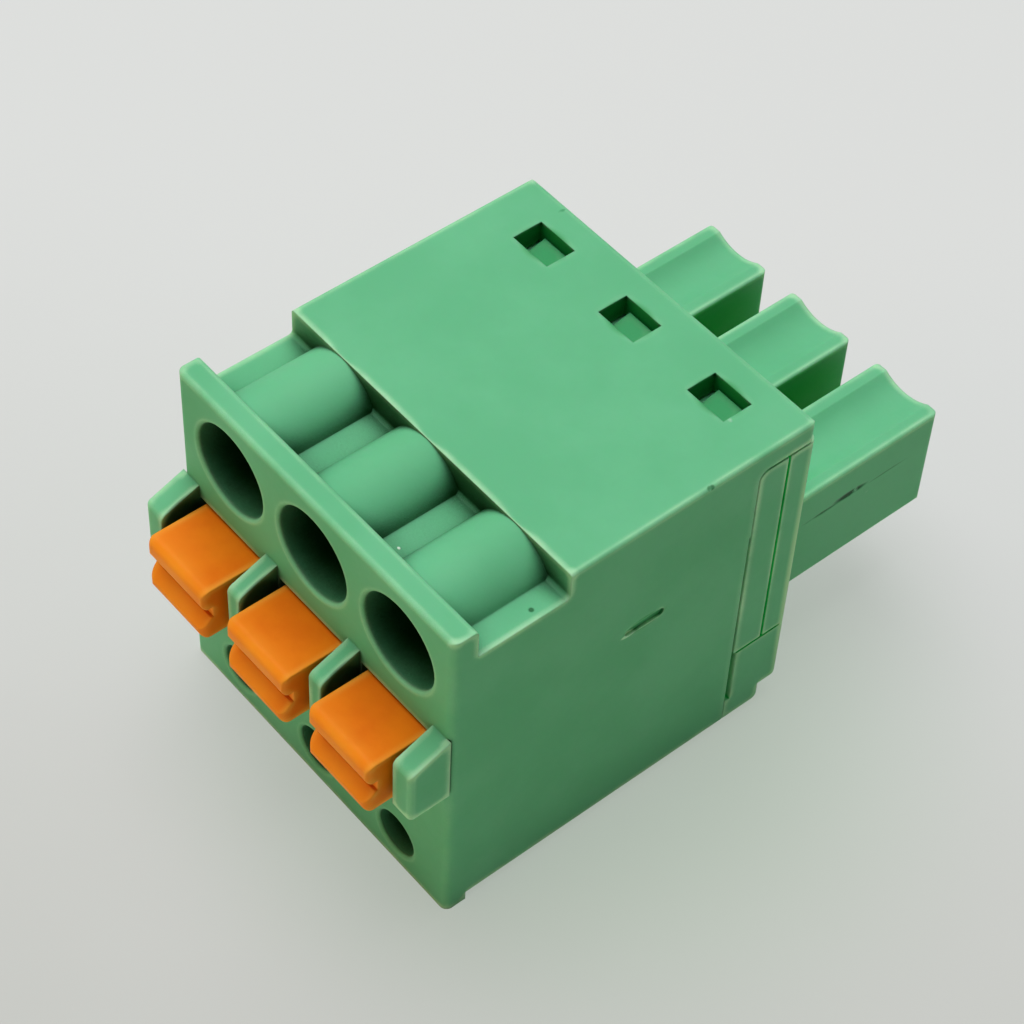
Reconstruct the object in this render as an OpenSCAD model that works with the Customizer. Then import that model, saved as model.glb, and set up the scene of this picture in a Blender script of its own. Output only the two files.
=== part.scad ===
// Pluggable terminal block: a three-pole push-in spring plug.
// Wires enter from -Y, the plug fingers point to +Y, and Z is up.
// Heights are counted from the underside of the housing, lengths from its front face.

/* [Poles] */
// Distance from one pole to the next
pitch = 3.81; // [3.7:0.01:4.3]
// What the housing adds outside the outer poles, on each side
end_margin = 0.46; // [0.4:0.02:0.9]
// Wall left between two neighbouring wire cells
cell_wall = 0.81; // [0.7:0.01:0.9]

/* [Housing] */
// Height of the roof over the underside
roof_z = 12.2; // [11.9:0.05:13]
// Thickness of the roof
roof_t = 0.75; // [0.6:0.05:0.9]
// Length from the front face to the rear edge of the roof
roof_len = 13; // [12.6:0.1:14]
// Thickness of the cell floors
floor_t = 0.8; // [0.6:0.05:0.85]
// Depth of the solid front part that holds the guides
front_wall = 3.9; // [3.6:0.05:3.95]
// Thickness of the thin upright front plate
plate_t = 0.84; // [0.6:0.02:1.2]
// How far the front plate stands above the roof
plate_rise = 0.13; // [0.05:0.01:0.4]
// Front end of the raised roof block behind the barrels
block_y = 4.01; // [3.4:0.05:4.4]
// Depth of the recess between front plate and roof block
recess_depth = 0.96; // [0.6:0.02:1.2]
// Wall left between the recess and the cells behind it
recess_wall = 0.65; // [0.6:0.05:0.9]
// Outer radius of the barrel over each wire funnel
barrel_r = 1.62; // [1.4:0.02:1.7]
// How far the barrel crowns stay below the roof
barrel_drop = 0.04; // [0.02:0.02:0.2]
// Rounding of the upright front corners
corner_r = 0.25; // [0.1:0.05:0.4]
// Rounding of the plate's upper edges
plate_edge = 0.14; // [0.05:0.01:0.2]
// Rounding of the roof's rear edge
roof_edge = 0.18; // [0.05:0.01:0.25]
// Rounding of the long upper edges
side_edge = 0.1; // [0.05:0.01:0.2]
// Fillet at the foot of the roof block
recess_fillet = 0.15; // [0.1:0.05:0.5]
// Length of the gate mark on the right flank, where the plastic entered the mould
gate_len = 1.43; // [0.8:0.01:2]
// Width of the gate mark
gate_w = 0.3; // [0.2:0.02:0.5]
// Depth of the gate mark
gate_depth = 0.08; // [0.04:0.01:0.15]
// Distance of the gate mark's middle from the front face
gate_y = 6.96; // [5:0.02:8]
// Height of the gate mark
gate_z = 7.9; // [6:0.05:9]
// Height where the rear edge of the flank steps towards the carrier
seam_step_z = 8.7; // [5:0.1:10]
// How far it steps
seam_step = 0.05; // [0.01:0.01:0.07]
// Height of the foot ridge under the front
foot_h = 0.35; // [0.2:0.05:0.8]
// Length of the foot ridge
foot_len = 0.75; // [0.5:0.05:1.5]

/* [Wire entries] */
// Height of the wire axis
entry_z = 10.12; // [10:0.02:10.2]
// Radius of the funnel mouth
entry_mouth_r = 1.53; // [1.3:0.02:1.6]
// Radius at the end of the nearly straight collar behind the mouth
entry_collar_r = 1.46; // [1.25:0.02:1.5]
// Depth of the collar
entry_collar = 1.6; // [0.5:0.1:2]
// Radius of the wire guide behind the funnel
entry_r = 1; // [0.8:0.05:1.2]
// Depth where the funnel ends and the guide begins
entry_funnel = 2.4; // [2.1:0.1:2.8]

/* [Test openings] */
// Height of the test probe axis
probe_z = 0.95; // [0.94:0.01:1.1]
// Radius of the opening at the front
probe_mouth_r = 0.8; // [0.7:0.02:0.86]
// Radius of the probe guide
probe_r = 0.6; // [0.4:0.05:0.65]
// Depth of the lead-in
probe_funnel = 0.9; // [0.4:0.1:2]
// Rounding at the mouth of every round opening
rim_r = 0.12; // [0.05:0.01:0.16]

/* [Button guards] */
// How far the guard ribs stand out of the front
guard_reach = 1.37; // [1:0.05:1.6]
// Height of the lower edge of the guards
guard_z0 = 5.6; // [5.2:0.05:5.7]
// Height of the upper edge where it meets the front
guard_z1 = 8.1; // [7.9:0.05:8.3]
// Slope of the upper edge in degrees
guard_slope = 21; // [5:1:30]
// Rounding of the upper front corner
guard_r = 0.25; // [0.1:0.05:0.5]
// Thickness of the guards between two buttons
guard_t = 0.55; // [0.4:0.05:0.8]
// Thickness of the two outer guards
cheek_t = 0.78; // [0.6:0.02:0.9]
// Depth of the pocket between the guards
pocket_depth = 1.2; // [1.1:0.05:1.5]

/* [Buttons] */
// Width of a release button's head
button_w = 2.7; // [2.4:0.05:2.8]
// Width of the shank behind the head
shank_w = 2.5; // [2.2:0.05:2.6]
// Height of the button's upper face
button_z1 = 7.45; // [7.3:0.05:7.6]
// Height of the shank's lower face
shank_z0 = 5.75; // [5.65:0.05:6]
// How far the lower lip hangs below the shank
lip_drop = 0.3; // [0.1:0.05:0.4]
// Reach of the upper lip in front of the plate
upper_lip = 2.05; // [1.8:0.05:2.4]
// Reach of the lower lip in front of the plate
lower_lip = 2.12; // [1.8:0.02:2.5]
// Thickness of the upper lip
upper_lip_t = 0.76; // [0.6:0.02:0.8]
// Height of the groove between the lips
lip_groove = 0.46; // [0.3:0.02:0.5]
// How far the lower lip's face leans back towards the groove
lip_rake = 0.34; // [0.1:0.02:0.36]
// Depth of that groove
lip_groove_depth = 0.36; // [0.2:0.02:0.6]
// Rounding of the lips' lower edges
lip_r = 0.22; // [0.1:0.02:0.24]
// Rounding of the upper lip's brow
brow_r = 0.3; // [0.1:0.02:0.34]
// Rounding of the head's upright front corners
head_corner_r = 0.28; // [0.1:0.02:0.4]
// Way that a button travels when it is pushed in
button_travel = 0.9; // [0.6:0.05:0.95]
// Gap left between the lower lip of a pressed button and the front
press_gap = 0.07; // [0.04:0.01:0.15]
// Play of the button in its guide, on each side
button_gap = 0.05; // [0.03:0.01:0.1]

/* [Contacts] */
// Sheet thickness of the current bar
bar_t = 0.4; // [0.3:0.05:0.5]
// Play of the current bar in its cell, on each side
bar_gap = 0.1; // [0.05:0.01:0.2]
// Height of the bar's lower leg
bar_z0 = 1.85; // [1.75:0.05:2]
// Bend radius inside the current bar
bar_bend = 0.25; // [0.1:0.05:0.4]
// Thickness of the two socket arms
arm_t = 0.22; // [0.15:0.01:0.25]
// Height of the socket arms
arm_h = 1.2; // [0.8:0.1:1.5]
// Opening between the arms at their root
arm_root_gap = 1.24; // [1.1:0.02:1.3]
// Opening between the arms where they grip the pin
arm_grip_gap = 0.72; // [0.5:0.02:0.8]

/* [Clamp springs] */
// Sheet thickness of the clamp spring
spring_t = 0.25; // [0.2:0.01:0.3]
// Width of the clamp spring
spring_w = 2.4; // [2:0.1:2.5]
// Outer radius of the bend at the front of the spring
spring_bend_r = 0.9; // [0.7:0.05:1]
// Distance of the bend's axis from the front face
spring_y = 5.2; // [5:0.05:5.3]
// Gap between the leg on the current bar and the bar's upright part
spring_foot_gap = 0.75; // [0.4:0.05:2]
// Slope of the clamping leg in degrees
spring_angle = 64; // [62:1:68]
// Gap left under the current bar at the clamping edge
spring_tip_gap = 0.1; // [0.05:0.05:0.4]
// Gap between a resting button and its spring
nose_gap = 0.1; // [0.05:0.01:0.2]

/* [Contact carrier] */
// Thickness of the carrier, from its seam to its rear face
carrier_t = 2.21; // [2:0.05:2.6]
// Play at the seam between housing and carrier
seam_gap = 0.1; // [0.05:0.01:0.14]
// How far the carrier stands out behind the roof
carrier_proud = 0.16; // [0:0.02:0.4]
// Height of the step under the rear
step_z = 0.65; // [0.4:0.05:0.8]
// Length of the step under the rear
step_len = 0.9; // [0.6:0.05:1.2]
// Rounding of the upright rear corners
rear_corner_r = 0.35; // [0.1:0.05:0.5]
// Rounding of the rear face's lower edge
rear_toe_r = 0.35; // [0.1:0.05:0.5]
// Rounding of the carrier's upper front edge, which the housing follows
seam_r = 0.3; // [0.1:0.05:0.5]
// Width of a plug finger
finger_w = 2.67; // [2.5:0.01:2.9]
// Length of the plug fingers
finger_len = 6.65; // [6:0.05:8]
// Height of the finger underside
finger_z0 = 3; // [2.6:0.05:3.2]
// Height of the finger top
finger_z1 = 7; // [6.8:0.05:7.4]
// Depth of the hollow along the finger top
hollow_depth = 0.28; // [0.1:0.02:0.4]
// Width of the hollow along the finger top
hollow_w = 1.8; // [1.6:0.1:2.2]
// Rounding of the finger edges
finger_r = 0.18; // [0.1:0.02:0.3]
// Side wall of a finger
finger_wall = 0.38; // [0.3:0.01:0.4]
// Height of the socket chamber inside a finger
chamber_h = 2; // [1.7:0.1:2.4]
// End wall of a finger
finger_end = 0.62; // [0.5:0.02:0.9]
// Width of the square pin opening
pin_hole = 1.3; // [1.1:0.05:1.4]
// Lead-in round the pin opening
pin_lead = 0.22; // [0.1:0.02:0.3]
// Height of the joint line along the flanks
flank_line_z = 3.17; // [3:0.05:3.5]
// Distance of the upright joint line from the carrier's front
flank_line_y = 1.1; // [0.8:0.05:1.3]
// Width and depth of the fine joint lines
flank_line = 0.1; // [0.06:0.01:0.16]
// Lower end of the wide slot low in the seam
slot_z0 = 0.85; // [0.5:0.05:1.5]
// Width that the slot adds to the seam
slot_w = 0.12; // [0.05:0.01:0.2]
// Depth of the slot
slot_depth = 0.2; // [0.1:0.05:0.6]
// Gap left at the seam below the slot
toe_gap = 0.03; // [0.02:0.01:0.05]

/* [Latches] */
// Width of a latch window in the roof
window_w = 1.52; // [1.3:0.02:1.8]
// Length of a latch window
window_len = 1.07; // [0.9:0.01:1.2]
// Distance from the rear edge of the roof to the window
window_back = 1.05; // [0.8:0.05:1.1]
// Width of the latch hook
hook_w = 1; // [0.8:0.05:1.2]
// Depth of the hook's high end below the roof
hook_depth = 0.45; // [0.2:0.05:0.55]
// How much lower the hook's front end is
hook_slope = 0.22; // [0.1:0.02:0.25]
// Play between the hook and the end of its window
hook_gap = 0.05; // [0.02:0.01:0.1]

/* [Hidden] */
$fn = 64;
eps = 0.01;

poles = 3;
body_w = poles * pitch + 2 * end_margin;
cell_w = pitch - cell_wall;
ceiling_z = roof_z - roof_t;
plate_z = roof_z + plate_rise;
recess_z = roof_z - recess_depth;
lintel_y = block_y + recess_wall;
lintel_z = recess_z - recess_wall;

// contact carrier, set by the roof over it
carrier_end = roof_len + carrier_proud;
carrier_y = carrier_end - carrier_t;
side_len = carrier_y - seam_gap;
carrier_top = ceiling_z - seam_gap;
finger_end_y = carrier_end + finger_len;
finger_mid_z = (finger_z0 + finger_z1) / 2;
chamber_w = finger_w - 2 * finger_wall;
window_y1 = roof_len - window_back;
window_y0 = window_y1 - window_len;

// button guide
guide_z0 = shank_z0 - button_gap;
guide_z1 = button_z1 + button_gap;
bay_w = pitch - guard_t;
pocket_w = bay_w - 0.1;
pocket_z1 = guide_z1 + 0.1;
lip_back = -button_travel - press_gap;
head_back = pocket_depth - button_travel - press_gap;
wing_len = 0.6;
wing_w = cell_w - 2 * bar_gap;
nose_w = 1.8;
nose_r = 0.35;

// current bar and clamp spring
bar_w = cell_w - 2 * bar_gap;
cell_r = 0.2;
foot_w = bar_w - 2 * cell_r;
bar_y0 = front_wall + 0.2;
bar_y1 = carrier_y;
bar_leg_z = bar_z0 + bar_t;
spring_z = bar_leg_z + spring_bend_r;
spring_mid_r = spring_bend_r - spring_t / 2;
leg_y0 = spring_y - spring_mid_r * sin(spring_angle);
leg_z0 = spring_z + spring_mid_r * cos(spring_angle);
leg_len = (ceiling_z - bar_t - spring_tip_gap - leg_z0) / sin(spring_angle);
nose_z = (shank_z0 + button_z1) / 2;
nose_y = leg_y0 + (nose_z - leg_z0) / tan(spring_angle) - spring_t / 2 / sin(spring_angle) - nose_gap;

// the frame's origin: middle of the overall length, at the lowest face
front_end = -lower_lip;
mid_y = (front_end + finger_end_y) / 2;

function pole_x(n) = (n - (poles + 1) / 2) * pitch;

module place() {
    translate([0, -mid_y, foot_h]) children();
}

module at_pole(n) {
    translate([pole_x(n), 0, 0]) children();
}

module each_pole() {
    for (n = [1:poles]) at_pole(n) children();
}

// a side profile, drawn as (length, height), given a width across the poles
module across(w) {
    rotate([90, 0, 90]) translate([0, 0, -w / 2]) linear_extrude(w) children();
}

// a front profile, drawn as (width, height), run along Y
module along(y0, y1) {
    translate([0, y1, 0]) rotate([90, 0, 0]) linear_extrude(y1 - y0) children();
}

// a plan, drawn as (width, length), run up from z0 to z1
module upright(z0, z1) {
    translate([0, 0, z0]) linear_extrude(z1 - z0) children();
}

module area(x0, y0, x1, y1) {
    translate([x0, y0]) square([x1 - x0, y1 - y0]);
}

// turns a shape drawn towards (+, +) towards (sx, sy)
module facing(sx, sy) {
    mirror([sx < 0 ? 1 : 0, 0]) mirror([0, sy < 0 ? 1 : 0]) children();
}

// what a rounding takes off a corner that points to (sx, sy)
module corner_cut(x, y, sx, sy, r) {
    translate([x, y]) facing(sx, sy) difference() {
        translate([-r, -r]) square(r + eps);
        translate([-r, -r]) circle(r);
    }
}

// what a fillet adds in an inner corner that opens towards (sx, sy)
module fillet(x, y, sx, sy, r) {
    translate([x, y]) facing(sx, sy) difference() {
        translate([-eps, -eps]) square(r + eps);
        translate([r, r]) circle(r);
    }
}

// rectangle with its own rounding at each end of its length
module rounded(x0, y0, x1, y1, r_low, r_high) {
    difference() {
        area(x0, y0, x1, y1);
        if (r_low > 0) {
            corner_cut(x0, y0, -1, -1, r_low);
            corner_cut(x1, y0, 1, -1, r_low);
        }
        if (r_high > 0) {
            corner_cut(x0, y1, -1, 1, r_high);
            corner_cut(x1, y1, 1, 1, r_high);
        }
    }
}

// ---- housing ----

module housing_side() {
    upper_len = side_len + seam_step;
    difference() {
        polygon([
            [0, -foot_h], [foot_len, -foot_h], [foot_len, 0], [side_len, 0],
            [side_len, seam_step_z], [upper_len, seam_step_z], [upper_len, ceiling_z],
            [roof_len, ceiling_z], [roof_len, roof_z], [block_y, roof_z], [block_y, recess_z],
            [plate_t, recess_z], [plate_t, plate_z], [0, plate_z]
        ]);
        corner_cut(0, plate_z, -1, 1, plate_edge);
        corner_cut(plate_t, plate_z, 1, 1, plate_edge);
        corner_cut(roof_len, roof_z, 1, 1, roof_edge);
    }
    // the recess runs up into the block, and the roof down into the side walls
    fillet(block_y, recess_z, -1, 1, recess_fillet);
    fillet(upper_len, ceiling_z, 1, -1, seam_r + seam_gap - seam_step);
}

module long_edges() {
    along(plate_t, roof_len + eps) {
        corner_cut(-body_w / 2, roof_z, -1, 1, side_edge);
        corner_cut(body_w / 2, roof_z, 1, 1, side_edge);
    }
}

module barrel() {
    translate([0, plate_t - eps, roof_z - barrel_drop - barrel_r]) rotate([-90, 0, 0])
        cylinder(h = block_y - plate_t + 2 * eps, r = barrel_r);
}

// the corner circle sits so that the sloping top runs into it without a kink
module guard_side() {
    round_y = -guard_reach + guard_r;
    round_z = guard_z1 + (round_y - guard_r * sin(guard_slope)) * tan(guard_slope)
        - guard_r * cos(guard_slope);
    touch_y = round_y - guard_r * sin(guard_slope);
    touch_z = round_z + guard_r * cos(guard_slope);
    polygon([
        [eps, guard_z0], [-guard_reach, guard_z0], [-guard_reach, round_z], [round_y, round_z],
        [touch_y, touch_z], [0, guard_z1], [eps, guard_z1]
    ]);
    translate([round_y, round_z]) circle(guard_r);
}

module guards() {
    edge_r = 0.15;
    outer_w = body_w / 2 - pole_x(poles) - cheek_t;
    intersection() {
        across(body_w) guard_side();
        upright(guard_z0 - eps, guard_z1 + eps) difference() {
            rounded(-body_w / 2, -guard_reach, body_w / 2, eps, edge_r, 0);
            for (n = [1:poles]) translate([pole_x(n), 0]) {
                left = n == 1 ? outer_w : bay_w / 2;
                right = n == poles ? outer_w : bay_w / 2;
                area(-left, -guard_reach - eps, right, 2 * eps);
            }
        }
    }
}

// round opening from the front: rounded rim, the lead-in's points, then a straight guide
module round_entry(z, mouth_r, lead_in, guide_r) {
    translate([0, 0, z]) rotate([-90, 0, 0]) rotate_extrude() {
        polygon(concat(
            [[0, -eps], [mouth_r, -eps], [mouth_r, rim_r]], lead_in,
            [[guide_r, front_wall + eps], [0, front_wall + eps]]
        ));
        difference() {
            translate([mouth_r - eps, -eps]) square([rim_r + eps, rim_r + eps]);
            translate([mouth_r + rim_r, rim_r]) circle(rim_r);
        }
    }
}

module button_channel() {
    along(-eps, pocket_depth)
        area(-pocket_w / 2, guard_z0, pocket_w / 2, pocket_z1);
    along(0, front_wall + eps)
        area(-shank_w / 2 - button_gap, guide_z0, shank_w / 2 + button_gap, guide_z1);
}

// solid that closes a cell under the recess, open where the wire passes
module lintel() {
    passage_gap = 0.05;
    half = entry_r + passage_gap;
    along(front_wall - eps, lintel_y) difference() {
        area(-cell_w / 2 - eps, lintel_z, cell_w / 2 + eps, ceiling_z + eps);
        area(-half, lintel_z - eps, half, entry_z + half);
    }
}

module cell() {
    difference() {
        along(front_wall, carrier_y + seam_r + eps)
            rounded(-cell_w / 2, floor_t, cell_w / 2, ceiling_z, cell_r, 0);
        lintel();
    }
}

module latch_window() {
    upright(ceiling_z - eps, roof_z + eps)
        area(-window_w / 2, window_y0, window_w / 2, window_y1);
}

// shallow slot with round ends in the right flank
module gate_mark() {
    half = (gate_len - gate_w) / 2;
    translate([body_w / 2 - gate_depth, gate_y, gate_z]) rotate([90, 0, 90])
        linear_extrude(gate_depth + eps) {
            square([2 * half, gate_w], center = true);
            translate([-half, 0]) circle(gate_w / 2);
            translate([half, 0]) circle(gate_w / 2);
        }
}

module housing() {
    wire_lead_in = [[entry_collar_r, entry_collar], [entry_r, entry_funnel]];
    probe_lead_in = [[probe_r, probe_funnel]];
    color([0.36, 0.66, 0.45]) place() difference() {
        union() {
            intersection() {
                across(body_w) housing_side();
                upright(-foot_h, plate_z)
                    rounded(-body_w / 2, 0, body_w / 2, roof_len, corner_r, corner_r);
            }
            each_pole() barrel();
            guards();
        }
        each_pole() {
            round_entry(entry_z, entry_mouth_r, wire_lead_in, entry_r);
            round_entry(probe_z, probe_mouth_r, probe_lead_in, probe_r);
            button_channel();
            cell();
            latch_window();
        }
        long_edges();
        gate_mark();
    }
}

// ---- contact carrier with the plug fingers ----

module carrier_side() {
    step_r = 0.2;
    step_y = carrier_end - step_len;
    toe_y = side_len + toe_gap;
    difference() {
        polygon([
            [toe_y, 0], [step_y, 0], [step_y, step_z], [carrier_end, step_z],
            [carrier_end, carrier_top], [carrier_y, carrier_top], [carrier_y, slot_z0], [toe_y, slot_z0]
        ]);
        corner_cut(step_y, 0, 1, -1, step_r);
        corner_cut(carrier_end, step_z, 1, -1, rear_toe_r);
        corner_cut(carrier_y, carrier_top, -1, 1, seam_r);
    }
}

// the wide slot low in the seam, and the fine lines that part the flank
module flank_cuts() {
    edge = body_w / 2;
    line_y = carrier_y + flank_line_y;
    line_end = carrier_end - rear_corner_r;
    upright(slot_z0, flank_line_z)
        area(edge - slot_depth, carrier_y - eps, edge + eps, carrier_y + slot_w);
    upright(flank_line_z, carrier_top + eps)
        area(edge - flank_line, line_y - flank_line / 2, edge + eps, line_y + flank_line / 2);
    upright(flank_line_z - flank_line / 2, flank_line_z + flank_line / 2)
        area(edge - flank_line, carrier_y - eps, edge + eps, line_end);
}

module finger_front() {
    hollow_r = (hollow_w * hollow_w / 4 + hollow_depth * hollow_depth) / 2 / hollow_depth;
    difference() {
        rounded(-finger_w / 2, finger_z0, finger_w / 2, finger_z1, finger_r, finger_r / 2);
        translate([0, finger_z1 - hollow_depth + hollow_r]) circle(hollow_r, $fn = 180);
    }
}

module finger() {
    intersection() {
        along(carrier_end - eps, finger_end_y) finger_front();
        upright(finger_z0, finger_z1)
            rounded(-finger_w / 2, carrier_end - eps, finger_w / 2, finger_end_y, 0, finger_r);
    }
}

module socket_chamber() {
    mouth_y = finger_end_y - finger_end;
    half = pin_hole / 2;
    wide = half + pin_lead;
    along(carrier_y - eps, mouth_y)
        area(-chamber_w / 2, finger_mid_z - chamber_h / 2, chamber_w / 2, finger_mid_z + chamber_h / 2);
    along(mouth_y - eps, finger_end_y + eps)
        area(-half, finger_mid_z - half, half, finger_mid_z + half);
    // lead-in: the overlap of two wedges gives four sloping sides
    intersection() {
        upright(finger_mid_z - wide, finger_mid_z + wide) polygon([
            [-half, finger_end_y - pin_lead], [-wide, finger_end_y + eps],
            [wide, finger_end_y + eps], [half, finger_end_y - pin_lead]
        ]);
        across(2 * wide) polygon([
            [finger_end_y - pin_lead, finger_mid_z - half], [finger_end_y + eps, finger_mid_z - wide],
            [finger_end_y + eps, finger_mid_z + wide], [finger_end_y - pin_lead, finger_mid_z + half]
        ]);
    }
}

// pocket that keeps the carrier wall even behind the upper part of a cell
module carrier_pocket() {
    wall = 0.8;
    along(carrier_y - eps, carrier_end - wall)
        area(-chamber_w / 2, finger_z1 + wall, chamber_w / 2, carrier_top - wall);
}

module latch_hook() {
    high = roof_z - hook_depth;
    hook_y0 = window_y0 + hook_gap;
    hook_y1 = window_y1 - hook_gap;
    across(hook_w) polygon([
        [hook_y0, carrier_top - eps], [hook_y1, carrier_top - eps],
        [hook_y1, high], [hook_y0, high - hook_slope]
    ]);
}

// tongue that rests on the cell floor and centres the carrier
module tongue() {
    tongue_len = 1.3;
    tongue_t = 0.6;
    nose = 0.3;
    across(foot_w) polygon([
        [carrier_y + eps, floor_t], [carrier_y - tongue_len, floor_t],
        [carrier_y - tongue_len, floor_t + tongue_t - nose],
        [carrier_y - tongue_len + nose, floor_t + tongue_t], [carrier_y + eps, floor_t + tongue_t]
    ]);
}

module contact_carrier() {
    color([0.30, 0.60, 0.39]) place() difference() {
        union() {
            intersection() {
                across(body_w) carrier_side();
                upright(0, carrier_top)
                    rounded(-body_w / 2, side_len, body_w / 2, carrier_end, 0, rear_corner_r);
            }
            each_pole() {
                finger();
                latch_hook();
                tongue();
            }
        }
        each_pole() {
            socket_chamber();
            carrier_pocket();
        }
        flank_cuts();
        mirror([1, 0, 0]) flank_cuts();
    }
}

// ---- release buttons ----

// head of a button: two lips with the groove for a screwdriver blade between them
module head_side() {
    upper_z0 = button_z1 - upper_lip_t;
    lower_z0 = shank_z0 - lip_drop;
    lower_z1 = upper_z0 - lip_groove;
    groove_y = -upper_lip + lip_groove_depth;
    lower_y = -lower_lip + lip_r;
    lower_z = lower_z0 + lip_r;
    area(groove_y, shank_z0, head_back, button_z1);
    // upper lip: a brow with two roundings
    difference() {
        area(-upper_lip, upper_z0, groove_y + eps, button_z1);
        corner_cut(-upper_lip, button_z1, -1, 1, brow_r);
        corner_cut(-upper_lip, upper_z0, -1, -1, lip_r);
    }
    // lower lip: face leaning back, rounded chin, rounded heel
    translate([lower_y, lower_z]) circle(lip_r);
    difference() {
        polygon([
            [lip_back, lower_z1], [-lower_lip + lip_rake, lower_z1], [-lower_lip, lower_z + lip_r / 2],
            [-lower_lip, lower_z], [lower_y, lower_z], [lower_y, lower_z0], [lip_back, lower_z0]
        ]);
        corner_cut(lip_back, lower_z0, 1, -1, lip_r);
    }
}

module nose_side() {
    root_y = front_wall + wing_len;
    tip_y = nose_y - nose_r;
    polygon([
        [root_y - eps, shank_z0 + nose_r], [tip_y, nose_z - nose_r],
        [tip_y, nose_z + nose_r], [root_y - eps, button_z1 - nose_r]
    ]);
    translate([tip_y, nose_z]) circle(nose_r);
}

module button(n) {
    wing_inset = 0.05;
    color([0.85, 0.43, 0.09]) place() at_pole(n) {
        intersection() {
            across(button_w) head_side();
            upright(shank_z0 - lip_drop, button_z1)
                rounded(-button_w / 2, -lower_lip, button_w / 2, head_back, head_corner_r, 0);
        }
        across(shank_w) area(head_back - eps, shank_z0, front_wall + wing_len, button_z1);
        across(nose_w) nose_side();
        // shoulders that stop the button against the inside of the front wall
        across(wing_w)
            area(front_wall, shank_z0 + wing_inset, front_wall + wing_len, button_z1 - wing_inset);
    }
}

// ---- contacts: current bar and socket in one stamped piece ----

module bar_side() {
    outer = bar_bend + bar_t;
    upper_y0 = lintel_y + bar_gap;
    difference() {
        area(bar_y0, bar_z0, bar_y1, ceiling_z);
        corner_cut(bar_y1, ceiling_z, 1, 1, outer);
        corner_cut(bar_y1, bar_z0, 1, -1, outer);
        difference() {
            area(bar_y0 - eps, bar_leg_z, bar_y1 - bar_t, ceiling_z - bar_t);
            corner_cut(bar_y1 - bar_t, bar_leg_z, 1, -1, bar_bend);
            corner_cut(bar_y1 - bar_t, ceiling_z - bar_t, 1, 1, bar_bend);
        }
        area(bar_y0 - eps, ceiling_z - bar_t - eps, upper_y0, ceiling_z + eps);
        // lead-in that guides the wire under the bar
        polygon([
            [upper_y0 - eps, ceiling_z - bar_t - eps], [upper_y0 + bar_t, ceiling_z - bar_t - eps],
            [upper_y0 - eps, ceiling_z - bar_t / 3]
        ]);
    }
}

module socket_arm(side) {
    root = arm_root_gap / 2;
    grip = arm_grip_gap / 2;
    mouth_y = finger_end_y - finger_end - 0.2;
    inner = [
        [root, bar_y1 - bar_t], [root, carrier_end], [grip, mouth_y - 1.3],
        [grip, mouth_y - 0.9], [grip + arm_t, mouth_y]
    ];
    outer = [for (k = [len(inner) - 1:-1:0]) [inner[k][0] + arm_t, inner[k][1]]];
    upright(finger_mid_z - arm_h / 2, finger_mid_z + arm_h / 2)
        mirror([side < 0 ? 1 : 0, 0]) polygon(concat(inner, outer));
}

module contact(n) {
    color([0.80, 0.79, 0.75]) place() at_pole(n) {
        across(bar_w) bar_side();
        // tab that a test probe touches
        across(foot_w) area(bar_y0, floor_t, bar_y0 + bar_t, bar_leg_z);
        socket_arm(-1);
        socket_arm(1);
    }
}

// ---- clamp springs ----

module spring_side() {
    reach = 2 * spring_bend_r;
    foot_end = bar_y1 - bar_t - spring_foot_gap;
    area(spring_y, bar_leg_z, foot_end, bar_leg_z + spring_t);
    translate([spring_y, spring_z]) intersection() {
        difference() {
            circle(spring_bend_r);
            circle(spring_bend_r - spring_t);
        }
        polygon(concat([[0, 0]], [
            for (k = [0:4]) let (a = 90 + spring_angle + k * (180 - spring_angle) / 4)
                [reach * cos(a), reach * sin(a)]
        ]));
    }
    translate([leg_y0, leg_z0]) rotate(spring_angle)
        translate([-eps, -spring_t / 2]) square([leg_len, spring_t]);
}

module clamp_spring(n) {
    color([0.62, 0.63, 0.65]) place() at_pole(n) across(spring_w) spring_side();
}

housing();
contact_carrier();
button(1);  // button_1
button(2);  // button_2
button(3);  // button_3
contact(1);  // contact_1
contact(2);  // contact_2
contact(3);  // contact_3
clamp_spring(1);  // clamp_spring_1
clamp_spring(2);  // clamp_spring_2
clamp_spring(3);  // clamp_spring_3
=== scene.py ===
# Pluggable terminal block: finishes, floor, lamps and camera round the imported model.
import math
import bpy
from mathutils import Euler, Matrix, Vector

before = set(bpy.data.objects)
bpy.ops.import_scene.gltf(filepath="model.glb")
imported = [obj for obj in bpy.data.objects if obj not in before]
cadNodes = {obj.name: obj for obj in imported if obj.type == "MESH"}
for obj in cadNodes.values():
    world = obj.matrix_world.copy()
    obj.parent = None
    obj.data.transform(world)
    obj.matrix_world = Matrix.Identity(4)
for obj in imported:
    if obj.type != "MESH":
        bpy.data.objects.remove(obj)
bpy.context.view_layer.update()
mm = 0.001
# middle of each pole across the plug, in mm
poles = (-3.81, 0, 3.81)
print("model loaded:", len(cadNodes), "nodes")

scene = bpy.context.scene
scene.view_settings.view_transform = "Standard"


def linear(red, green, blue):
    # screen colour 0-255 to the linear colour that sockets take
    def one(value):
        value = value / 255
        return value / 12.92 if value <= 0.04045 else ((value + 0.055) / 1.055) ** 2.4
    return (one(red), one(green), one(blue), 1.0)


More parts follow.
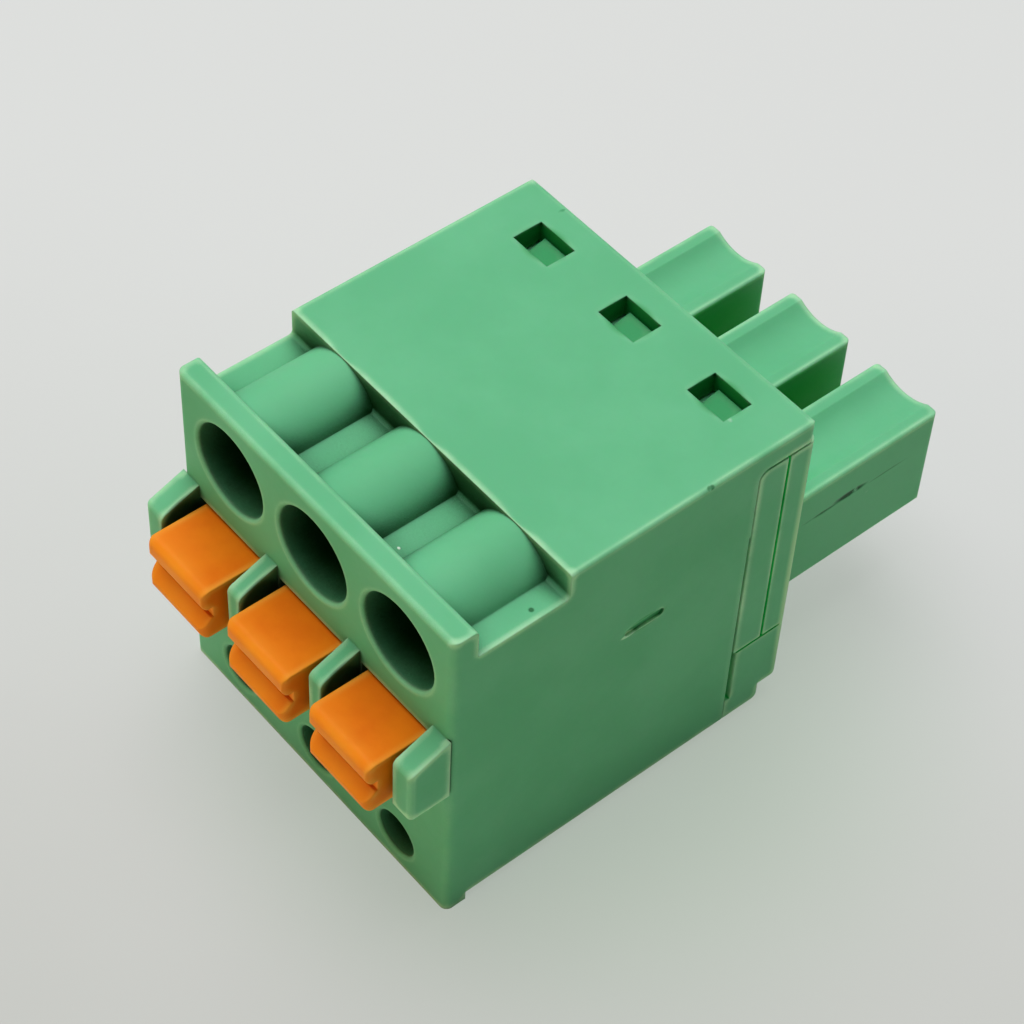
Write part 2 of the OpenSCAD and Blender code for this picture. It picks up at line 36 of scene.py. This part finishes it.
class NodeDesk:
    # short hand for laying out one material's nodes
    def __init__(self, name):
        self.material = bpy.data.materials.new(name)
        self.material.use_nodes = True
        self.tree = self.material.node_tree
        self.tree.nodes.clear()
        self.place = 0

    def add(self, kind, settings=None, **inputs):
        node = self.tree.nodes.new(kind)
        self.place += 1
        node.location = ((self.place % 12) * 190, -(self.place // 12) * 320)
        for key, value in (settings or {}).items():
            setattr(node, key, value)
        for key, value in inputs.items():
            self.feed(node, key.replace("_", " "), value)
        return node

    def feed(self, node, key, value):
        socket = node.inputs[key]
        if isinstance(value, bpy.types.NodeSocket):
            self.tree.links.new(value, socket)
        else:
            socket.default_value = value

    def sums(self, operation, first, second=None):
        node = self.add("ShaderNodeMath", {"operation": operation})
        self.feed(node, 0, first)
        if second is not None:
            self.feed(node, 1, second)
        return node.outputs[0]

    def vector(self, operation, first, second=None):
        node = self.add("ShaderNodeVectorMath", {"operation": operation})
        self.feed(node, 0, first)
        if second is not None:
            self.feed(node, 1, second)
        return node

    def ramp(self, value, low, high, outLow=0.0, outHigh=1.0):
        node = self.add("ShaderNodeMapRange", {"interpolation_type": "SMOOTHSTEP"}, Value=value,
                        From_Min=low, From_Max=high, To_Min=outLow, To_Max=outHigh)
        return node.outputs[0]

    def tint(self, amount, under, over, blend="MIX"):
        node = self.add("ShaderNodeMix", {"data_type": "RGBA", "blend_type": blend})
        self.feed(node, 0, amount)
        self.feed(node, 6, under)
        self.feed(node, 7, over)
        return node.outputs[2]

    def noise(self, where, scale, detail=4.0, rough=0.55, stretch=None):
        if stretch is not None:
            mapping = self.add("ShaderNodeMapping", Vector=where)
            mapping.inputs["Scale"].default_value = stretch
            where = mapping.outputs[0]
        node = self.add("ShaderNodeTexNoise", Vector=where, Scale=scale, Detail=detail, Roughness=rough)
        return node.outputs["Fac"]

    def spot(self, where, centre, size, soft):
        # 1 inside an ellipsoid, fading to 0 at its edge; centre and half sizes in mm
        shifted = self.vector("SUBTRACT", where, [value * mm for value in centre]).outputs[0]
        scaled = self.vector("DIVIDE", shifted, [value * mm for value in size]).outputs[0]
        return self.ramp(self.vector("LENGTH", scaled).outputs["Value"], 1.0, 1.0 - soft)


# where the finishes of moulded parts change over; scales are per metre
moulding = {
    "flowScale": 0.6, "flowStretch": (1.0, 0.18, 1.0), "samples": 8,
    "rimFrom": 0.92, "rimTo": 0.60, "rimGrain": 700, "rimLeast": 0.45,
    "cloudTint": 0.6, "flowTint": 0.25, "bump": 0.6, "index": 1.5,
}


def mouldedPlastic(name, look, marksAndPaintedLight=(), calmPlaces=()):
    desk = NodeDesk(name)
    where = desk.add("ShaderNodeTexCoord").outputs["Object"]
    cloud = desk.noise(where, look["cloud"], 5)
    flow = desk.noise(where, look["cloud"] * moulding["flowScale"], 3, 0.5, moulding["flowStretch"])
    grain = desk.noise(where, look["grain"], 2, 0.6)
    # softened normal, and a painted highlight along outer edges, patchy, held back at the calm places
    samples = moulding["samples"]
    soft = desk.add("ShaderNodeBevel", {"samples": samples}, Radius=look["edge"] * mm).outputs[0]
    inner = desk.add("ShaderNodeAmbientOcclusion",
                     {"samples": samples, "only_local": True, "inside": True},
                     Distance=look["rimReach"] * mm)
    edge = desk.ramp(inner.outputs["AO"], moulding["rimFrom"], moulding["rimTo"])
    patches = desk.noise(where, moulding["rimGrain"], 4)
    patchy = desk.ramp(patches, 0.30, 0.62, moulding["rimLeast"], 1.0)
    edge = desk.sums("MULTIPLY", edge, patchy)
    for place in calmPlaces:
        calm = desk.spot(where, place["at"], place["size"], 0.3)
        kept = desk.sums("SUBTRACT", 1.0, desk.sums("MULTIPLY", calm, place["share"]))
        edge = desk.sums("MULTIPLY", edge, kept)
    # how open a place is: holes and gaps take painted shade, a deep tint
    cover = desk.add("ShaderNodeAmbientOcclusion", {"samples": samples, "only_local": True},
                     Distance=look["shadeReach"] * mm)
    openness = desk.ramp(cover.outputs["AO"], look["shadeFrom"], look["shadeTo"])
    shade = desk.tint(openness, look["hollow"], (1, 1, 1, 1))
    deeper = desk.ramp(cloud, 0.35, 0.65, 0.0, moulding["cloudTint"])
    colour = desk.tint(deeper, linear(*look["base"]), linear(*look["deep"]))
    paler = desk.ramp(flow, 0.55, 0.75, 0.0, moulding["flowTint"])
    colour = desk.tint(paler, colour, linear(*look["pale"]))
    colour = desk.tint(desk.sums("MULTIPLY", edge, look["edgeHighlightShare"]), colour, linear(*look["rim"]))
    height = desk.sums("ADD", desk.sums("MULTIPLY", grain, look["grainDepth"]),
                       desk.sums("MULTIPLY", cloud, look["waveDepth"]))
    # the painted shade darkens the colour
    colour = desk.tint(1.0, colour, shade, "MULTIPLY")
    # marks: real nicks, specks, scars and seams, and also painted shade and painted highlights
    for mark in marksAndPaintedLight:
        inside = desk.spot(where, mark["at"], mark["size"], mark["soft"])
        if mark["grain"]:
            torn = desk.ramp(desk.noise(where, mark["grain"], 3), 0.36, 0.52)
            inside = desk.sums("MULTIPLY", inside, torn)
        share = desk.sums("MULTIPLY", inside, mark["strength"])
        colour = desk.tint(share, colour, linear(*mark["colour"]))
        height = desk.sums("ADD", height, desk.sums("MULTIPLY", inside, mark["rise"]))
    uneven = desk.sums("ADD", desk.sums("MULTIPLY", cloud, 0.7), desk.sums("MULTIPLY", grain, 0.3))
    rough = desk.ramp(uneven, 0.3, 0.7, look["roughLow"], look["roughHigh"])
    bump = desk.add("ShaderNodeBump", Strength=moulding["bump"], Distance=mm,
                    Height=height, Normal=soft)
    shader = desk.add("ShaderNodeBsdfPrincipled", Base_Color=colour, Roughness=rough,
                      Normal=bump.outputs[0])
    shader.inputs["IOR"].default_value = moulding["index"]
    shader.inputs["Specular IOR Level"].default_value = look["shine"]
    # a little light passes through thin walls
    shader.inputs["Subsurface Weight"].default_value = look["glow"]
    shader.inputs["Subsurface Radius"].default_value = look["glowTint"]
    shader.inputs["Subsurface Scale"].default_value = look["glowReach"] * mm
    desk.add("ShaderNodeOutputMaterial", Surface=shader.outputs[0])
    return desk.material


def dress(material, *names):
    for name in names:
        for slot in cadNodes[name].material_slots:
            slot.material = material


greenPlastic = {
    "base": (104, 187, 140), "deep": (94, 178, 130), "pale": (122, 200, 156),
    "rim": (196, 242, 198), "edge": 0.08, "edgeHighlightShare": 0.62, "rimReach": 0.30,
    "hollow": (0.004, 0.06, 0.008, 1), "shadeReach": 3.4, "shadeFrom": 0.32, "shadeTo": 0.84,
    "glow": 0.20, "glowTint": (0.12, 1.0, 0.35), "glowReach": 0.6,
    "cloud": 260, "grain": 5200, "grainDepth": 0.004, "waveDepth": 0.010,
    "roughLow": 0.44, "roughHigh": 0.60, "shine": 0.09,
}
carrierPlastic = {**greenPlastic, "hollow": (0.01, 0.92, 0.32, 1)}
# positions and half sizes in mm; rise is the height of the mark in mm
housingMarksAndPaintedLight = [
    # painted shade in the recess of the gate vestige
    {"at": (6.12, -1.88, 8.25), "size": (0.20, 0.92, 0.30), "soft": 0.25, "grain": 0,
     "colour": (62, 156, 98), "strength": 0.85, "rise": 0},
    # painted highlight at the lower end of the gate vestige
    {"at": (6.17, -2.46, 8.12), "size": (0.15, 0.34, 0.10), "soft": 0.4, "grain": 0,
     "colour": (196, 246, 206), "strength": 0.8, "rise": 0},
    # painted highlight along the lower rim of the gate vestige
    {"at": (6.17, -1.75, 8.09), "size": (0.12, 0.60, 0.06), "soft": 0.5, "grain": 0,
     "colour": (170, 232, 186), "strength": 0.7, "rise": 0},
    {"at": (6.17, 0.15, 12.55), "size": (0.14, 0.16, 0.14), "soft": 0.5, "grain": 3000,
     "colour": (52, 120, 74), "strength": 0.8, "rise": -0.06},
    {"at": (5.82, -5.90, 11.59), "size": (0.10, 0.10, 0.10), "soft": 0.5, "grain": 2500,
     "colour": (40, 104, 62), "strength": 0.9, "rise": -0.03},
    {"at": (1.99, -7.36, 11.59), "size": (0.07, 0.05, 0.10), "soft": 0.5, "grain": 2500,
     "colour": (222, 240, 226), "strength": 0.9, "rise": 0.03},
    {"at": (-4.55, 3.88, 12.55), "size": (0.07, 0.16, 0.05), "soft": 0.6, "grain": 2500,
     "colour": (70, 150, 104), "strength": 0.8, "rise": -0.02},
    {"at": (4.55, 2.22, 12.55), "size": (0.20, 0.10, 0.10), "soft": 0.6, "grain": 2500,
     "colour": (176, 226, 196), "strength": 0.7, "rise": 0.04},
]
carrierMarksAndPaintedLight = [
    {"at": (5.145, 7.46, 6.12), "size": (0.15, 0.86, 0.15), "soft": 0.6, "grain": 2600,
     "colour": (16, 74, 38), "strength": 0.95, "rise": -0.08},
    {"at": (5.145, 6.30, 6.04), "size": (0.10, 0.95, 0.08), "soft": 0.8, "grain": 900,
     "colour": (34, 96, 56), "strength": 0.8, "rise": -0.05},
    {"at": (5.145, 9.05, 6.03), "size": (0.10, 1.10, 0.045), "soft": 0.8, "grain": 900,
     "colour": (46, 108, 66), "strength": 0.6, "rise": -0.03},
    {"at": (5.145, 8.22, 5.70), "size": (0.10, 0.10, 0.12), "soft": 0.6, "grain": 2500,
     "colour": (150, 200, 164), "strength": 0.7, "rise": 0.03},
    # painted highlight down the rear vertical corner
    {"at": (6.12, 4.06, 6.0), "size": (0.26, 0.26, 9.0), "soft": 0.8, "grain": 0,
     "colour": (200, 242, 190), "strength": 0.6, "rise": 0},
    {"at": (-3.96, 2.99, 12.10), "size": (0.12, 0.08, 0.12), "soft": 0.6, "grain": 2500,
     "colour": (200, 234, 210), "strength": 0.8, "rise": 0.02},
]
# edges where the painted edge highlight is held back: round the latch windows and along the seam
housingCalm = [{"at": (6.17, 2.3, 5.0), "size": (0.6, 0.9, 9.0), "share": 0.7}]
# painted shade: the guard faces in the gaps beside the buttons are painted dark
guardFaces = (-5.40, -1.63, 2.18)
for x in guardFaces:
    housingMarksAndPaintedLight.append({"at": (x, -9.45, 6.85), "size": (0.16, 1.05, 1.75), "soft": 0.35, "grain": 0,
                         "colour": (8, 44, 20), "strength": 0.93, "rise": 0})
for x in poles:
    # painted shade: saturated dark green on the latch window walls
    housingMarksAndPaintedLight.append({"at": (x, 2.57, 12.05), "size": (1.3, 1.1, 0.70), "soft": 0.2, "grain": 0,
                         "colour": (10, 136, 58), "strength": 0.85, "rise": 0})
    housingCalm.append({"at": (x, 2.57, 12.4), "size": (1.5, 1.2, 0.8), "share": 0.85})
    # painted shade on the latch hooks down in the windows
    carrierMarksAndPaintedLight.append({"at": (x, 2.57, 12.0), "size": (0.85, 0.85, 0.38), "soft": 0.15, "grain": 0,
                         "colour": (54, 152, 93), "strength": 0.9, "rise": 0})
dress(mouldedPlastic("greenHousing", greenPlastic, housingMarksAndPaintedLight, housingCalm), "housing")
dress(mouldedPlastic("greenCarrier", carrierPlastic, carrierMarksAndPaintedLight), "contact_carrier")

orangePlastic = {
    "base": (244, 128, 6), "deep": (232, 110, 3), "pale": (248, 146, 20),
    "rim": (252, 184, 70), "edge": 0.10, "edgeHighlightShare": 0.55, "rimReach": 0.32,
    "glow": 0.12, "glowTint": (1.0, 0.16, 0.02), "glowReach": 0.4,
    "hollow": (0.50, 0.06, 0.02, 1), "shadeReach": 1.6, "shadeFrom": 0.08, "shadeTo": 0.66,
    "cloud": 700, "grain": 4200, "grainDepth": 0.006, "waveDepth": 0.012,
    "roughLow": 0.46, "roughHigh": 0.62, "shine": 0.10,
}
# painted light: the button fronts a little yellower and paler
paintedButtonFrontLight = [{"at": (x, -11.2, 7.0), "size": (2.4, 1.15, 2.3), "soft": 0.9, "grain": 0,
                "colour": (255, 172, 50), "strength": 0.6, "rise": 0} for x in poles]
dress(mouldedPlastic("orangeButton", orangePlastic, paintedButtonFrontLight), "button_1", "button_2", "button_3")


def stripMetal(name, look):
    desk = NodeDesk(name)
    where = desk.add("ShaderNodeTexCoord").outputs["Object"]
    streak = desk.noise(where, 900, 4, 0.6, (1.0, 0.08, 0.08))
    stain = desk.noise(where, 300, 3)
    colour = desk.tint(desk.ramp(stain, 0.4, 0.7), linear(*look["base"]), linear(*look["deep"]))
    rough = desk.ramp(streak, 0.3, 0.7, look["roughLow"], look["roughHigh"])
    bump = desk.add("ShaderNodeBump", Strength=0.5, Distance=0.01 * mm, Height=streak)
    shader = desk.add("ShaderNodeBsdfPrincipled", Base_Color=colour, Roughness=rough,
                      Normal=bump.outputs[0])
    shader.inputs["Metallic"].default_value = 1.0
    desk.add("ShaderNodeOutputMaterial", Surface=shader.outputs[0])
    return desk.material


tinPlate = {"base": (196, 196, 190), "deep": (150, 150, 146), "roughLow": 0.24, "roughHigh": 0.42}
dress(stripMetal("tinnedContact", tinPlate), "contact_1", "contact_2", "contact_3")

springSteel = {"base": (150, 152, 156), "deep": (104, 104, 108), "roughLow": 0.22, "roughHigh": 0.36}
dress(stripMetal("clampSteel", springSteel), "clamp_spring_1", "clamp_spring_2", "clamp_spring_3")
print("finishes laid on")


floorLook = {
    "near": (198, 200, 196), "far": (219, 221, 220), "size": 0.6,
    "fadeFrom": -0.035, "fadeTo": 0.030, "drift": 0.002,
    "bleed": (184, 204, 184), "bleedShare": 0.5, "bleedAt": (3, -1, 0), "bleedSize": (15, 15, 5),
    "lit": 0.70, "bounce": (0.80, 0.80, 0.66, 1),
}


def makeFloor():
    half = floorLook["size"] / 2
    mesh = bpy.data.meshes.new("tableTop")
    corners = [(-half, -half, 0), (half, -half, 0), (half, half, 0), (-half, half, 0)]
    mesh.from_pydata(corners, [], [(0, 1, 2, 3)])
    floor = bpy.data.objects.new("tableTop", mesh)
    scene.collection.objects.link(floor)
    desk = NodeDesk("paleTable")
    where = desk.add("ShaderNodeTexCoord").outputs["Object"]
    split = desk.add("ShaderNodeSeparateXYZ", Vector=where)
    # painted light falloff: paler towards the back left, with a faint cloudiness
    drift = floorLook["drift"]
    across = desk.sums("SUBTRACT", split.outputs[1], split.outputs[0])
    across = desk.sums("ADD", across, desk.ramp(desk.noise(where, 60, 3), 0.3, 0.7, -drift, drift))
    depth = desk.ramp(across, floorLook["fadeFrom"], floorLook["fadeTo"])
    colour = desk.tint(depth, linear(*floorLook["near"]), linear(*floorLook["far"]))
    # green light off the plug close to it
    near = desk.spot(where, floorLook["bleedAt"], floorLook["bleedSize"], 0.7)
    share = desk.sums("MULTIPLY", near, floorLook["bleedShare"])
    colour = desk.tint(share, colour, linear(*floorLook["bleed"]))
    # seen straight on, part of the floor glows: painted light that lightens the plug's shadow
    seen = desk.add("ShaderNodeLightPath")
    straight = desk.sums("MAXIMUM", seen.outputs["Is Camera Ray"], seen.outputs["Is Glossy Ray"])
    straight = desk.sums("MAXIMUM", straight, seen.outputs["Is Transmission Ray"])
    paint = desk.tint(straight, floorLook["bounce"], colour)
    diffuse = desk.add("ShaderNodeBsdfDiffuse", Color=paint)
    glow = desk.add("ShaderNodeEmission", Color=colour)
    mix = desk.add("ShaderNodeMixShader", Fac=desk.sums("MULTIPLY", straight, floorLook["lit"]))
    desk.feed(mix, 1, diffuse.outputs[0])
    desk.feed(mix, 2, glow.outputs[0])
    desk.add("ShaderNodeOutputMaterial", Surface=mix.outputs[0])
    mesh.materials.append(desk.material)


makeFloor()

worldLook = {"colour": (1.0, 0.98, 0.84), "strength": 0.13, "wall": (216, 218, 216)}
lampsAim = Vector((0, 0, 0.006))
lamps = {
    "keyLamp": {"at": (-0.10, 0.02, 0.36), "size": 0.40, "watts": 1.6, "colour": (1.0, 1.0, 1.0)},
    "frontLamp": {"at": (-0.12, -0.34, 0.10), "size": 0.20, "watts": 0.24, "colour": (1.0, 0.58, 0.22)},
}


def makeLight():
    world = bpy.data.worlds.new("studio")
    world.use_nodes = True
    scene.world = world
    tree = world.node_tree
    back = tree.nodes["Background"]
    back.inputs[0].default_value = (*worldLook["colour"], 1.0)
    back.inputs[1].default_value = worldLook["strength"]
    # beyond the table stands a pale wall, which lights nothing
    wall = tree.nodes.new("ShaderNodeBackground")
    wall.inputs[0].default_value = linear(*worldLook["wall"])
    seen = tree.nodes.new("ShaderNodeLightPath")
    mix = tree.nodes.new("ShaderNodeMixShader")
    tree.links.new(seen.outputs["Is Camera Ray"], mix.inputs[0])
    tree.links.new(back.outputs[0], mix.inputs[1])
    tree.links.new(wall.outputs[0], mix.inputs[2])
    tree.links.new(mix.outputs[0], tree.nodes["World Output"].inputs[0])
    for name, lamp in lamps.items():
        data = bpy.data.lights.new(name, "AREA")
        data.shape = "DISK"
        data.size = lamp["size"]
        data.energy = lamp["watts"]
        data.color = lamp["colour"]
        light = bpy.data.objects.new(name, data)
        light.location = lamp["at"]
        towards = lampsAim - Vector(lamp["at"])
        light.rotation_euler = towards.to_track_quat("-Z", "Y").to_euler()
        scene.collection.objects.link(light)


makeLight()

cameraLook = {
    "at": (0.04073, -0.038267, 0.072102), "turn": (40.0598, -2.0647, 50.4075),
    "lens": 101.808, "sensor": 36,
}


def makeCamera():
    data = bpy.data.cameras.new("camera")
    data.lens = cameraLook["lens"]
    data.sensor_width = cameraLook["sensor"]
    data.clip_start = 0.005
    data.clip_end = 5
    camera = bpy.data.objects.new("camera", data)
    camera.location = cameraLook["at"]
    camera.rotation_euler = Euler([math.radians(angle) for angle in cameraLook["turn"]], "XYZ")
    scene.collection.objects.link(camera)
    scene.camera = camera


makeCamera()
print("floor, lamps and camera set")
